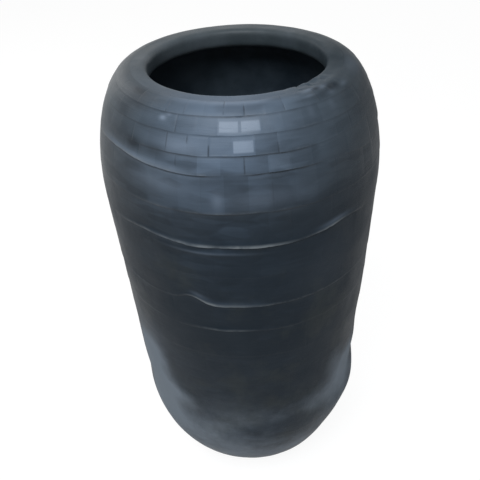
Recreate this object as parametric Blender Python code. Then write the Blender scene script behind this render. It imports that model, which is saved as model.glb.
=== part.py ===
"""Rolling-lobe air bellows: a bare rubber sleeve with a wire bead at each end.

The wall is four layers that are cured together: a strip-built cover, two cord plies and an airtight
liner. At each end both plies pass under a taped wire hoop, turn round it on its bore side and run back
beneath the cover. A rubber filler closes the wedge between ply and turn-up, and a chafer strip wraps the
bead from its end face to the inside of the wall. Everything is turned about the Z axis, and the bellows
stands on the flat ring of its lower chafer.
"""

import math

import bmesh
import bpy
from mathutils import Vector

# Driving dimensions of the outside, in metres
BELLOWS_HEIGHT = 0.460
BODY_RADIUS = 0.130  # at the foot of the shoulder, where the sleeve is widest
WAIST_RADIUS = 0.1178  # at the top of the heel
SHOULDER_HEIGHT = 0.098  # height over which the wall rounds in to the upper mouth
HEEL_HEIGHT = 0.110  # height over which it rounds in to the lower mouth
SHOULDER_FULLNESS = 1.98  # power of the superellipse: 2 is an ellipse, more is squarer
HEEL_FULLNESS = 1.86
UPPER_BORE_RADIUS = 0.078
LOWER_BORE_RADIUS = 0.040
SEAT_LAND = 0.006  # width of the flat ring on each bead's end face

# Driving dimensions of the layers and beads
COVER_THICKNESS = 0.0024  # also the chafers', which meet the cover edge to edge
PLY_THICKNESS = 0.0010
LINER_THICKNESS = 0.0018
LAYER_GAP = 0.0003  # clearance between neighbouring pieces
HOOP_RADIUS = 0.0028
TAPE_THICKNESS = 0.0006
TURN_UP_LENGTH = 0.030
FILLER_AT_TURN_UP = 0.0008  # thickness of the filler where the turn-ups end
FILLER_FEATHER = 0.0004  # thickness of the filler's thin edge
CHAFER_LENGTH = 0.015  # how far the chafer runs along the inside of the wall

# Driving dimensions of the laps in the strip-built cover
LAP_DEPTH = 0.0009  # how far a strip stands out over the next one
LAP_EDGE_LENGTH = 0.0014  # how far the step between them runs along the wall
SHOULDER_LAP_PITCH = 0.01485
SHOULDER_LAPS = 4
BODY_LAP_PITCH = 0.0325

# Fineness of the solids
TURNED_SIDES = 28
WALL_TOLERANCE = 0.0018  # how far the inner faces may stray from the outline's curve
COVER_TOLERANCE = 0.0006
CORNER_SPACE = 0.007  # a corner that only follows the curve keeps this far from the others
CURVE_SAMPLES = 60
SHARP_EDGE = math.radians(35)

# Layers round a hoop, as radii from its centre
tape_wrap = HOOP_RADIUS + LAYER_GAP
outer_ply_wrap = tape_wrap + TAPE_THICKNESS + LAYER_GAP
inner_ply_wrap = outer_ply_wrap + PLY_THICKNESS + LAYER_GAP
skin_wrap = inner_ply_wrap + PLY_THICKNESS + LAYER_GAP
bead_radius = skin_wrap + COVER_THICKNESS

# Layers in the plain wall, as depths below the outline
outer_ply_depth = COVER_THICKNESS + LAYER_GAP
inner_ply_depth = outer_ply_depth + PLY_THICKNESS + LAYER_GAP
liner_depth = inner_ply_depth + PLY_THICKNESS + LAYER_GAP

# The wall thickens evenly from this distance off a hoop, so that the filler has its stated thickness
turn_up_floor = bead_radius - outer_ply_wrap + LAYER_GAP
ply_at_hoop = bead_radius + outer_ply_wrap
ply_at_turn_up = turn_up_floor + FILLER_AT_TURN_UP + LAYER_GAP
ply_fall = (ply_at_hoop - ply_at_turn_up) / TURN_UP_LENGTH
build_up_length = (ply_at_hoop - outer_ply_depth) / ply_fall

upper_bead = Vector((UPPER_BORE_RADIUS + bead_radius, BELLOWS_HEIGHT - bead_radius))
lower_bead = Vector((LOWER_BORE_RADIUS + bead_radius, bead_radius))

# Directions round a bead: 0 is towards the wall, a quarter turn the end face, a half turn the bore
EIGHTH = math.pi / 4
BORE_SIDE = (3 * EIGHTH, 4 * EIGHTH, 5 * EIGHTH)


def clear_scene():
    for obj in list(bpy.data.objects):
        bpy.data.objects.remove(obj, do_unlink=True)


def material(name, colour, roughness, metallic=0.0):
    made = bpy.data.materials.new(name)
    made.use_nodes = True
    shader = made.node_tree.nodes["Principled BSDF"]
    shader.inputs["Base Color"].default_value = (*colour, 1.0)
    shader.inputs["Roughness"].default_value = roughness
    shader.inputs["Metallic"].default_value = metallic
    made.diffuse_color = (*colour, 1.0)
    return made


def quarter(centre, across, along, fullness, start, end):
    """Points of a superellipse's quarter in (radius, height), between two angles."""
    points = []
    for i in range(CURVE_SAMPLES + 1):
        angle = start + (end - start) * i / CURVE_SAMPLES
        c, s = math.cos(angle), math.sin(angle)
        r = centre[0] + across * abs(c) ** (2 / fullness)
        z = centre[1] + math.copysign(along * abs(s) ** (2 / fullness), s)
        points.append(Vector((r, z)))
    return points


def outline_points():
    """The outside of the sleeve: a shoulder and a heel, joined by a straight taper, with a flat at each end."""
    shoulder_centre = upper_bead.x + SEAT_LAND
    heel_centre = lower_bead.x + SEAT_LAND
    shoulder_foot = BELLOWS_HEIGHT - SHOULDER_HEIGHT
    shoulder = quarter(
        (shoulder_centre, shoulder_foot),
        BODY_RADIUS - shoulder_centre,
        SHOULDER_HEIGHT,
        SHOULDER_FULLNESS,
        math.pi / 2,
        0,
    )
    heel = quarter(
        (heel_centre, HEEL_HEIGHT),
        WAIST_RADIUS - heel_centre,
        HEEL_HEIGHT,
        HEEL_FULLNESS,
        0,
        -math.pi / 2,
    )
    crest = Vector((upper_bead.x, BELLOWS_HEIGHT))
    foot = Vector((lower_bead.x, 0))
    return [crest, *shoulder, *heel, foot]


class Outline:
    """The sleeve's outside as a line, with places on it named by their distance from the upper crest."""

    def __init__(self, points):
        self.points = points
        self.distances = [0.0]
        directions = []
        for a, b in zip(points, points[1:]):
            directions.append((b - a).normalized())
            self.distances.append(self.distances[-1] + (b - a).length)
        self.length = self.distances[-1]
        self.widest = self.distances[points.index(max(points, key=lambda p: p.x))]
        self.directions = [directions[0]]
        self.directions += [(a + b).normalized() for a, b in zip(directions, directions[1:])]
        self.directions.append(directions[-1])

    def at(self, distance):
        """(point, outward direction) at a distance along the line."""
        distance = min(max(distance, 0.0), self.length)
        i = 1
        while self.distances[i] < distance and i < len(self.points) - 1:
            i += 1
        start, end = self.distances[i - 1], self.distances[i]
        share = (distance - start) / (end - start)
        point = self.points[i - 1].lerp(self.points[i], share)
        along = self.directions[i - 1].lerp(self.directions[i], share).normalized()
        return point, Vector((-along.y, along.x))

    def strays(self, start, end):
        """How far the line strays from the chord between two of its points, given by their places in it."""
        a, b = self.points[start], self.points[end]
        chord = (b - a).normalized()
        return max((abs(chord.cross(p - a)) for p in self.points[start + 1 : end]), default=0.0)

    def corners(self, start, end, tolerance):
        """Distances from start to end, with as few corners between as keep to a tolerance."""
        inner = [i for i, distance in enumerate(self.distances) if start < distance < end]
        found = [start]
        last = inner[0]
        for before, i in zip(inner, inner[1:]):
            if self.strays(last, i) > tolerance:
                found.append(self.distances[before])
                last = before
        return [start, *(s for s in found[1:] if end - s > CORNER_SPACE), end]


outline = Outline(outline_points())
bead_stations = [0.0, CHAFER_LENGTH, TURN_UP_LENGTH]
wall_stations = [
    *sorted(bead_stations),
    *outline.corners(build_up_length, outline.length - build_up_length, WALL_TOLERANCE),
    *sorted(outline.length - s for s in bead_stations),
]


def inside_point(distance, wall_depth, bead_depth):
    """A point below the outline. Its depth grows evenly from the plain wall's to the bead's.

    Between two wall stations it lies on the straight line that joins them, as the layers' flat faces do.
    """

    def at_station(station):
        point, outward = outline.at(station)
        from_bead = min(station, outline.length - station)
        share = max(0.0, 1 - from_bead / build_up_length)
        return point - outward * (wall_depth + (bead_depth - wall_depth) * share)

    after = next(i for i, s in enumerate(wall_stations) if s >= distance or i == len(wall_stations) - 1)
    if wall_stations[after] == distance or after == 0:
        return at_station(wall_stations[after])
    start, end = wall_stations[after - 1], wall_stations[after]
    return at_station(start).lerp(at_station(end), (distance - start) / (end - start))


def inside_run(start, end, wall_depth, bead_depth):
    """A face of a layer between two distances, with a corner at each wall station between them."""
    stations = [start, *(s for s in wall_stations if start < s < end), end]
    return [inside_point(s, wall_depth, bead_depth) for s in stations]


def run_from_bead(is_upper, start, end, wall_depth, bead_depth):
    """The same, with the distances measured from one of the beads."""
    if is_upper:
        return inside_run(start, end, wall_depth, bead_depth)
    return inside_run(outline.length - end, outline.length - start, wall_depth, bead_depth)[::-1]


def round_bead(is_upper, angle, radius):
    """A point round a bead's hoop. The lower bead is the upper one turned over."""
    centre = upper_bead if is_upper else lower_bead
    flip = 1 if is_upper else -1
    return centre + Vector((radius * math.cos(angle), flip * radius * math.sin(angle)))


def bead_height(is_upper):
    return upper_bead.y if is_upper else lower_bead.y


def turned(name, section, finish, body, datum):
    """A solid of revolution. Its section is a closed loop of (radius, height), and datum its origin's height."""
    mesh = bpy.data.meshes.new(name)
    shape = bmesh.new()
    corners = [shape.verts.new((p.x, 0, p.y - datum)) for p in section]
    loop = [shape.edges.new((a, b)) for a, b in zip(corners, corners[1:] + corners[:1])]
    bmesh.ops.spin(
        shape,
        geom=corners + loop,
        cent=(0, 0, 0),
        axis=(0, 0, 1),
        angle=2 * math.pi,
        steps=TURNED_SIDES,
        use_merge=True,
    )
    bmesh.ops.recalc_face_normals(shape, faces=shape.faces)
    if shape.calc_volume(signed=True) < 0:
        bmesh.ops.reverse_faces(shape, faces=shape.faces)
    shape.to_mesh(mesh)
    shape.free()
    mesh.shade_smooth()
    mesh.set_sharp_from_angle(angle=SHARP_EDGE)
    mesh.materials.append(finish)
    obj = bpy.data.objects.new(name, mesh)
    bpy.context.scene.collection.objects.link(obj)
    obj.parent = body
    obj.location = (0, 0, datum - body.location.z)
    return obj


def body_empty(name, height):
    empty = bpy.data.objects.new(name, None)
    bpy.context.scene.collection.objects.link(empty)
    empty.location = (0, 0, height)
    return empty


def lap_distances():
    """Where the cover's strips end, each over the top of the next: close on the shoulder, wider below."""
    laps = [SEAT_LAND + SHOULDER_LAP_PITCH * (i + 1) for i in range(SHOULDER_LAPS)]
    while laps[-1] + 2 * BODY_LAP_PITCH < outline.length - SEAT_LAND:
        laps.append(laps[-1] + BODY_LAP_PITCH)
    return laps


def cover_outside():
    """The cover's face from end to end. Each strip stands out towards its lower edge and then steps in."""
    laps = lap_distances()
    last = outline.length - SEAT_LAND
    corners = {SEAT_LAND: 0.0, last: 0.0}
    for lap in laps:
        corners[lap] = 0.0
        corners[lap + LAP_EDGE_LENGTH] = LAP_DEPTH
    for distance in (outline.widest, *outline.corners(SEAT_LAND, last, COVER_TOLERANCE)[1:-1]):
        if min(abs(distance - corner) for corner in corners) < CORNER_SPACE:
            continue
        below = min(corner for corner in corners if corner > distance)
        above = max(corner for corner in corners if corner < distance)
        share = (distance - above) / (below - above)
        corners[distance] = corners[above] * (1 - share) + corners[below] * share
    face = []
    for distance in sorted(corners):
        point, outward = outline.at(distance)
        face.append(point - outward * corners[distance])
    return face


def make_cover(finish, body):
    """The outer cover, from the outer edge of the upper end face to that of the lower one."""
    inside = inside_run(SEAT_LAND, outline.length - SEAT_LAND, COVER_THICKNESS, COVER_THICKNESS)
    return turned("outer_cover", cover_outside() + inside[::-1], finish, body, 0)


def make_ply(name, wall_depth, wrap, finish, body):
    """A cord ply with a turn-up round each hoop."""

    def face(offset):
        radius = wrap + offset
        under_cover = bead_radius - radius
        return [
            *inside_run(0, TURN_UP_LENGTH, under_cover, under_cover)[::-1],
            *(round_bead(True, angle, radius) for angle in BORE_SIDE),
            *inside_run(0, outline.length, wall_depth + offset, bead_radius + radius),
            *(round_bead(False, angle, radius) for angle in BORE_SIDE[::-1]),
            *inside_run(outline.length - TURN_UP_LENGTH, outline.length, under_cover, under_cover)[::-1],
        ]

    return turned(name, face(0) + face(PLY_THICKNESS)[::-1], finish, body, 0)


def make_liner(finish, body):
    """The airtight liner, from the end of one chafer to the end of the other."""
    start = CHAFER_LENGTH + LAYER_GAP

    def face(offset):
        return inside_run(start, outline.length - start, liner_depth + offset, bead_radius + skin_wrap + offset)

    return turned("inner_liner", face(0) + face(LINER_THICKNESS)[::-1], finish, body, 0)


def make_hoop(name, is_upper, finish, body):
    """The bundle of bead wire."""
    section = [round_bead(is_upper, i * EIGHTH, HOOP_RADIUS) for i in range(8)]
    return turned(name, section, finish, body, bead_height(is_upper))


def make_tape(name, is_upper, finish, body):
    """The cloth tape round a hoop. Its edges meet on the side towards the wall."""

    def face(radius):
        corners = [round_bead(is_upper, i * EIGHTH, radius) for i in range(1, 9)]
        across = corners[0] - corners[-1]
        return [*corners, corners[0] - across * (LAYER_GAP / across.length)]

    section = face(tape_wrap) + face(tape_wrap + TAPE_THICKNESS)[::-1]
    return turned(name, section, finish, body, bead_height(is_upper))


def make_filler(name, is_upper, finish, body):
    """The rubber wedge beside the hoop, and its thin tail past the ends of the turn-ups."""
    past_turn_up = TURN_UP_LENGTH + LAYER_GAP
    tail_end = (ply_at_hoop - outer_ply_depth - LAYER_GAP - FILLER_FEATHER) / ply_fall
    over_ply = (outer_ply_depth - LAYER_GAP, ply_at_hoop - LAYER_GAP)

    def beside_tape(face):
        start, end = face[:2]
        return [start.lerp(end, outer_ply_wrap / (end.x - start.x)), *face[1:]]

    section = [
        *beside_tape(run_from_bead(is_upper, 0, tail_end, *over_ply)),
        *run_from_bead(is_upper, past_turn_up, tail_end, outer_ply_depth, outer_ply_depth)[::-1],
        *beside_tape(run_from_bead(is_upper, 0, past_turn_up, turn_up_floor, turn_up_floor))[::-1],
    ]
    return turned(name, section, finish, body, bead_height(is_upper))


def make_chafer(name, is_upper, finish, body):
    """The strip that wraps a bead, from the cover's edge on the end face to the liner's edge inside."""
    edge = SEAT_LAND - LAYER_GAP

    def face(end_face, radius, wall_depth):
        bore = [round_bead(is_upper, angle, radius) for angle in BORE_SIDE]
        inside = run_from_bead(is_upper, 0, CHAFER_LENGTH, wall_depth, bead_radius + radius)
        return [*end_face[::-1], *bore, *inside]

    land = [outline.at(s if is_upper else outline.length - s)[0] for s in (0, edge)]
    under_land = run_from_bead(is_upper, 0, edge, COVER_THICKNESS, COVER_THICKNESS)
    near = face(under_land, skin_wrap, liner_depth)
    far = face(land, bead_radius, liner_depth + COVER_THICKNESS)
    return turned(name, near + far[::-1], finish, body, bead_height(is_upper))


def main():
    clear_scene()
    cover_rubber = material("cover_rubber", (0.050, 0.060, 0.074), 0.42)
    liner_rubber = material("liner_rubber", (0.020, 0.023, 0.027), 0.60)
    filler_rubber = material("filler_rubber", (0.030, 0.030, 0.032), 0.70)
    cord_fabric = material("cord_fabric", (0.230, 0.110, 0.060), 0.80)
    tape_fabric = material("tape_fabric", (0.420, 0.380, 0.300), 0.85)
    chafer_fabric = material("chafer_fabric", (0.042, 0.046, 0.052), 0.75)
    bead_wire = material("bead_wire", (0.600, 0.480, 0.300), 0.35, 1.0)

    lower_end = body_empty("lower_end", 0)
    upper_end = body_empty("upper_end", bead_height(True))

    make_cover(cover_rubber, lower_end)
    make_ply("outer_cord_ply", outer_ply_depth, outer_ply_wrap, cord_fabric, lower_end)
    make_ply("inner_cord_ply", inner_ply_depth, inner_ply_wrap, cord_fabric, lower_end)
    make_liner(liner_rubber, lower_end)
    for is_upper, body, prefix in ((True, upper_end, "upper"), (False, lower_end, "lower")):
        make_hoop(f"{prefix}_bead_hoop", is_upper, bead_wire, body)
        make_tape(f"{prefix}_bead_tape", is_upper, tape_fabric, body)
        make_filler(f"{prefix}_bead_filler", is_upper, filler_rubber, body)
        make_chafer(f"{prefix}_chafer", is_upper, chafer_fabric, body)


main()
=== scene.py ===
# Rolling-lobe air bellows: the finished sleeve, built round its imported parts.
# Runs are distances in metres along the outline, from the upper bead's crest over the shoulder to the foot.
# Azimuths are degrees about the sleeve's axis: 0 is +X and -90 is the side towards the camera.
import functools
import math
import operator

import bmesh
import bpy
import numpy as np
from mathutils import Matrix, Vector, noise


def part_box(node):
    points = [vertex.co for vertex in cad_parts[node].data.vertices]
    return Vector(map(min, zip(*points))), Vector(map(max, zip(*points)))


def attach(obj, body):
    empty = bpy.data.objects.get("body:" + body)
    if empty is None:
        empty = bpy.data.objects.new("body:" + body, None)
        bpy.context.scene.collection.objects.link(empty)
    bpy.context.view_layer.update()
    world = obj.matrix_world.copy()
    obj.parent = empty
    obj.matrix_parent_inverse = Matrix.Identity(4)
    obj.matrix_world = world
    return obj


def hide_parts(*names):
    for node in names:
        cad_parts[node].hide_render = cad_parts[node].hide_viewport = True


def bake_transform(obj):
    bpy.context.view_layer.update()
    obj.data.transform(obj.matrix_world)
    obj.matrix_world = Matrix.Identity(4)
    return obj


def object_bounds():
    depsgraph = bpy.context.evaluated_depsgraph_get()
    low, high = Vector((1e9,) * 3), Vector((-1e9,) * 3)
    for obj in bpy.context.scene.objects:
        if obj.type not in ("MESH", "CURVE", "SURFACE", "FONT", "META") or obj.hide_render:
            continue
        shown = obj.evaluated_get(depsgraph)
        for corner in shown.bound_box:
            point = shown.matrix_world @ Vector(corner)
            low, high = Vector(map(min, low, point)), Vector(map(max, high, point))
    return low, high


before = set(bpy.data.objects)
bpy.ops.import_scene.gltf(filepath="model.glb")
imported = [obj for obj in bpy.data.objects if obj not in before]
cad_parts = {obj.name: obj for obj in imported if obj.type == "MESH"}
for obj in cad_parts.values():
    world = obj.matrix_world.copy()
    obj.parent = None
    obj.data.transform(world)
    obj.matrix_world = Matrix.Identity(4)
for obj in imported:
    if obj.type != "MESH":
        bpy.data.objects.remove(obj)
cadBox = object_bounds()
print("loaded", len(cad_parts), "parts")

fullTurn = 2 * math.pi


# Node tools, used by the geometry trees and the materials alike
class Value:
    # A socket to reckon with: a sum or a product of these lays the node that works it out
    def __init__(self, socket):
        self.socket = socket

    def __add__(self, other):
        return calc("ADD", self, other)

    def __radd__(self, other):
        return calc("ADD", other, self)

    def __sub__(self, other):
        return calc("SUBTRACT", self, other)

    def __rsub__(self, other):
        return calc("SUBTRACT", other, self)

    def __mul__(self, other):
        return calc("MULTIPLY", self, other)

    def __rmul__(self, other):
        return calc("MULTIPLY", other, self)

    def __truediv__(self, other):
        return calc("DIVIDE", self, other)

    def __mod__(self, other):
        return calc("FLOORED_MODULO", self, other)


def treeOf(*values):
    return next(value.socket.id_data for value in values if isinstance(value, Value))


def feed(socket, value):
    if isinstance(value, Value):
        socket.id_data.links.new(value.socket, socket)
    else:
        socket.default_value = value


def addNode(tree, kind, inputs=None, **settings):
    node = tree.nodes.new(kind)
    for name, value in settings.items():
        setattr(node, name, value)
    for name, value in (inputs or {}).items():
        feed(node.inputs[name], value)
    return node


def lay(tree, kind, inputs=None, output=0, **settings):
    # Adds a node and gives one of its outputs
    return Value(addNode(tree, kind, inputs, **settings).outputs[output])


def outputsOf(node):
    return {socket.name: Value(socket) for socket in node.outputs if socket.name}


def calc(operation, *values):
    node = addNode(treeOf(*values), "ShaderNodeMath", operation=operation)
    for socket, value in zip(node.inputs, values):
        feed(socket, value)
    return Value(node.outputs[0])


def total(values):
    return functools.reduce(operator.add, values)


def isNumber(value, number):
    return calc("COMPARE", value, float(number), 0.1)


def ramp(value, low, high, fromValue=0.0, toValue=1.0):
    inputs = {"Value": value, "From Min": low, "From Max": high, "To Min": fromValue, "To Max": toValue}
    return lay(treeOf(value), "ShaderNodeMapRange", inputs, interpolation_type="SMOOTHSTEP")


def mix(share, a, b):
    return lay(treeOf(share), "ShaderNodeMix", {0: share, 2: a, 3: b})


def joinXyz(x, y, z):
    return lay(treeOf(x, y, z), "ShaderNodeCombineXYZ", {"X": x, "Y": y, "Z": z})


def splitXyz(vector):
    return outputsOf(addNode(treeOf(vector), "ShaderNodeSeparateXYZ", {"Vector": vector}))


def cloud(vector, scale, detail=2.0, roughness=0.5, w=0.0):
    inputs = {"Vector": vector, "W": w, "Scale": scale, "Detail": detail, "Roughness": roughness}
    return lay(treeOf(vector), "ShaderNodeTexNoise", inputs, noise_dimensions="4D")


def chance(x, y, z):
    # A number from 0 to 1 that is the same wherever x, y and z are
    return lay(treeOf(x, y), "ShaderNodeTexWhiteNoise", {"Vector": joinXyz(x, y, z)}, "Value")


def aroundAndUp(angle, level):
    # A place for a pattern that has no seam behind the sleeve
    return joinXyz(calc("COSINE", angle), calc("SINE", angle), level)


def nearAzimuth(angle, azimuth, halfWidth):
    # 1 at an azimuth and falling off like a bell, without a seam behind the sleeve
    away = calc("COSINE", angle - math.radians(azimuth))
    return calc("EXPONENT", (away - 1.0) * (1 / math.radians(halfWidth) ** 2))


def spots(angle, run, marks):
    # Soft spots on the sleeve, each given as (azimuth, run, half width in degrees, half height, strength)
    found = []
    for azimuth, at, halfWidth, halfHeight, strength in marks:
        off = (run - at) * (1 / halfHeight)
        across = calc("EXPONENT", off * off * -0.5)
        found.append(nearAzimuth(angle, azimuth, halfWidth) * across * strength)
    return total(found)


def newTree(name, kind, inputs, outputs):
    # A node tree with named sockets, each given as (name, kind)
    tree = bpy.data.node_groups.new(name, kind)
    for way, sockets in (("INPUT", inputs), ("OUTPUT", outputs)):
        for label, socketKind in sockets:
            tree.interface.new_socket(label, in_out=way, socket_type="NodeSocket" + socketKind)
    return tree, outputsOf(tree.nodes.new("NodeGroupInput")), tree.nodes.new("NodeGroupOutput").inputs


# The sleeve's outline and the build-up of its wall
sleeve = {
    "bodyRadius": 0.130,
    "waistRadius": 0.1178,
    "shoulderHeight": 0.098,
    "heelHeight": 0.110,
    "shoulderFullness": 1.98,
    "heelFullness": 1.86,
    "seatLand": 0.006,
    "coverThickness": 0.0024,
    "plyThickness": 0.0010,
    "linerThickness": 0.0018,
    "layerGap": 0.0003,
    "coverGap": 0.00006,  # between the cover and the chafer, so that no line shows there
    "tapeThickness": 0.0006,
    "turnUpLength": 0.030,
    "fillerAtTurnUp": 0.0008,
    "fillerFeather": 0.0004,
    "chaferLength": 0.015,
    "outlineStep": 0.001,
    # How often the taper's joins are eased, and how far they lie from the ends
    "kinkPasses": 120,
    "kinkReach": (0.085, 0.060),
}

gap = sleeve["layerGap"]
coverStart = sleeve["seatLand"] - gap + sleeve["coverGap"]
coverThickness = sleeve["coverThickness"]
plyThickness = sleeve["plyThickness"]
height = cadBox[1].z


def hoopOf(node):
    # The radius of a hoop's section, and where its middle lies (radius, height)
    low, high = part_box(node)
    radius = (high.z - low.z) / 2
    return radius, (high.x - radius, high.z - radius)


_, upperBead = hoopOf("upper_bead_hoop")
hoopRadius, lowerBead = hoopOf("lower_bead_hoop")

tapeWrap = hoopRadius + gap
outerPlyWrap = tapeWrap + sleeve["tapeThickness"] + gap
innerPlyWrap = outerPlyWrap + plyThickness + gap
skinWrap = innerPlyWrap + plyThickness + gap
beadRadius = skinWrap + coverThickness

outerPlyDepth = coverThickness + gap
innerPlyDepth = outerPlyDepth + plyThickness + gap
linerDepth = innerPlyDepth + plyThickness + gap
turnUpFloor = beadRadius - outerPlyWrap + gap
plyFall = (beadRadius + outerPlyWrap - turnUpFloor - sleeve["fillerAtTurnUp"] - gap) / sleeve["turnUpLength"]
buildUpLength = (beadRadius + outerPlyWrap - outerPlyDepth) / plyFall


def outlineOf(spec):
    def quarter(centre, across, along, fullness, start, end):
        angle = np.linspace(start, end, 400)
        c, s = np.cos(angle), np.sin(angle)
        r = centre[0] + across * np.abs(c) ** (2 / fullness)
        z = centre[1] + np.sign(s) * along * np.abs(s) ** (2 / fullness)
        return np.column_stack((r, z))

    shoulderX = upperBead[0] + spec["seatLand"]
    heelX = lowerBead[0] + spec["seatLand"]
    shoulderHeight, heelHeight = spec["shoulderHeight"], spec["heelHeight"]
    shoulderAcross = spec["bodyRadius"] - shoulderX
    top = (shoulderX, height - shoulderHeight)
    shoulder = quarter(top, shoulderAcross, shoulderHeight, spec["shoulderFullness"], math.pi / 2, 0)
    heelAcross = spec["waistRadius"] - heelX
    heel = quarter((heelX, heelHeight), heelAcross, heelHeight, spec["heelFullness"], 0, -math.pi / 2)
    points = np.vstack(([upperBead[0], height], shoulder, heel, [lowerBead[0], 0]))
    runs = np.append(0, np.cumsum(np.hypot(*np.diff(points, axis=0).T)))
    even = np.linspace(0, runs[-1], round(runs[-1] / spec["outlineStep"]) + 1)
    points = np.column_stack([np.interp(even, runs, points[:, i]) for i in (0, 1)])
    above, below = spec["kinkReach"]
    free = slice(round(above / spec["outlineStep"]), -round(below / spec["outlineStep"]))
    for _ in range(spec["kinkPasses"]):  # rounds off where the taper meets the shoulder and the heel
        eased = (np.roll(points, 1, 0) + 2 * points + np.roll(points, -1, 0)) / 4
        points[free] = eased[free]
    along = np.gradient(points, even, axis=0)
    along /= np.linalg.norm(along, axis=1)[:, None]
    return {"run": even, "point": points, "outward": np.column_stack((-along[:, 1], along[:, 0]))}


outline = outlineOf(sleeve)
outlineLength = float(outline["run"][-1])


def wallPoints(runs, depths):
    # Points of the section (radius, height) at a depth below the outline
    def along(key):
        return np.column_stack([np.interp(runs, outline["run"], outline[key][:, i]) for i in (0, 1)])

    return along("point") - along("outward") * np.broadcast_to(depths, len(runs))[:, None]


def layerRun(start, end, wallDepth, beadDepth, step=0.004):
    runs = np.linspace(start, end, max(2, round(abs(end - start) / step) + 1))
    fromBead = np.minimum(runs, outlineLength - runs)
    share = np.clip(1 - fromBead / buildUpLength, 0, 1)
    return wallPoints(runs, wallDepth + (beadDepth - wallDepth) * share)


def beadRun(isUpper, start, end, wallDepth, beadDepth, step=0.003):
    if isUpper:
        return layerRun(start, end, wallDepth, beadDepth, step)
    return layerRun(outlineLength - start, outlineLength - end, wallDepth, beadDepth, step)


def roundBead(isUpper, start, end, radius, count=13, fullness=2.0):
    # Round a hoop: 0 degrees is towards the wall, 90 the end face and 180 the bore. More fullness is squarer
    angle = np.radians(np.linspace(start, end, count))
    centre = np.array(upperBead if isUpper else lowerBead)
    flip = 1 if isUpper else -1
    c, s = (np.sign(part) * np.abs(part) ** (2 / fullness) for part in (np.cos(angle), np.sin(angle)))
    return centre + radius * np.column_stack((c, flip * s))


def finishMesh(mesh, sharp=40):
    # Faces point outwards, and only real edges stay sharp
    shape = bmesh.new()
    shape.from_mesh(mesh)
    bmesh.ops.recalc_face_normals(shape, faces=shape.faces)
    if shape.calc_volume(signed=True) < 0:
        bmesh.ops.reverse_faces(shape, faces=shape.faces)
    shape.to_mesh(mesh)
    shape.free()
    mesh.shade_smooth()
    mesh.set_sharp_from_angle(angle=math.radians(sharp))


def addPiece(name, data):
    piece = bpy.data.objects.new(name, data)
    bpy.context.scene.collection.objects.link(piece)
    return piece


def turnedPiece(name, section, sides, finish, move=None):
    # A closed section turned about the axis. move shifts a point: it takes and gives (angle, run, radius, height)
    section = np.asarray(section)
    count = len(section)
    runs = np.append(0, np.cumsum(np.hypot(*np.diff(section, axis=0).T)))
    places = []
    for side in range(sides):
        angle = fullTurn * side / sides
        for run, (r, z) in zip(runs, section):
            if move:
                r, z = move(angle, run, r, z)
            places.append((r * math.cos(angle), r * math.sin(angle), z))
    faces = []
    for side in range(sides):
        a, b = side * count, (side + 1) % sides * count
        faces += [(a + i, b + i, b + (i + 1) % count, a + (i + 1) % count) for i in range(count)]
    mesh = bpy.data.meshes.new(name)
    mesh.from_pydata(places, [], faces)
    stripRun = mesh.attributes.new("stripRun", "FLOAT", "POINT")
    stripRun.data.foreach_set("value", np.tile(runs, sides).astype(np.float32))
    finishMesh(mesh)
    mesh.materials.append(finish)
    return addPiece(name, mesh)


# The cover's strips: close on the shoulder, wider below, and printed in short blocks
laps = {
    "shoulderPitch": 0.01485,
    "shoulderCount": 4,
    "bodyPitch": 0.0325,
    "depth": 0.0009,
    "edge": 0.0010,
    # Rows of the mesh in a strip. Past a run the laps hardly show, and fewer rows will do
    "shoulderRows": 14,
    "bodyRows": 19,
    "lowFrom": 0.258,
    "lowRows": 13,
    "rowPull": 0.85,
    # How plainly each lap shows, from the first below the mouth, and the rest
    "shown": (0.75, 0.9, 0.9, 1.0, 0.55, 0.9, 0.10, 0.7, 0.40, 0.15),
    "shownBelow": 0.07,
    # How much of a lap is left where it fades, on the shoulder and on the body
    "fadedShoulder": 0.35,
    "fadedBody": 0.05,
    # Azimuth and half width of the side where the shoulder is crisp, and how much of the print and the laps is left
    "crispAzimuth": -95,
    "crispHalfWidth": 24,
    "crispRest": 0.14,
    "crispRestLaps": 0.30,
    # Runs over which the blocks' print fades, and how much is left
    "printFades": ((0.060, 0.072, 0.45), (0.092, 0.135, 0.30)),
    "blocksPerTurn": 42,
    "columnsPerBlock": 8,
    "seamPull": 0.62,
    "blockShift": (2, 4, 7, 3),
}


def lapPlace(run, angle):
    # Where a point lies: its strip, the share down the strip and its turn in blocks
    shoulderEnd = sleeve["seatLand"] + laps["shoulderPitch"] * laps["shoulderCount"]
    onShoulder = calc("LESS_THAN", run, shoulderEnd)
    close = (run - sleeve["seatLand"]) * (1 / laps["shoulderPitch"])
    wide = (run - shoulderEnd) * (1 / laps["bodyPitch"]) + laps["shoulderCount"]
    place = wide + onShoulder * (close - wide)
    pitch = onShoulder * (laps["shoulderPitch"] - laps["bodyPitch"]) + laps["bodyPitch"]
    strip = calc("FLOOR", place)
    share = calc("FRACT", place)
    cycle = strip % len(laps["blockShift"])
    columns = laps["columnsPerBlock"]
    shift = total([isNumber(cycle, i) * (step / columns) for i, step in enumerate(laps["blockShift"])])
    return {
        "onShoulder": onShoulder,
        "strip": strip,
        "nextStrip": strip + 1.0,
        "share": share,
        "below": share * pitch,
        "above": (1.0 - share) * pitch,
        "pitch": pitch,
        "turn": angle * (laps["blocksPerTurn"] / fullTurn) + shift,
        "shift": shift,
    }


def crispness(angle, rest):
    # 1 on the side where the print is crisp, down to what rests of it behind
    return nearAzimuth(angle, laps["crispAzimuth"], laps["crispHalfWidth"]) * (1 - rest) + rest


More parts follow.
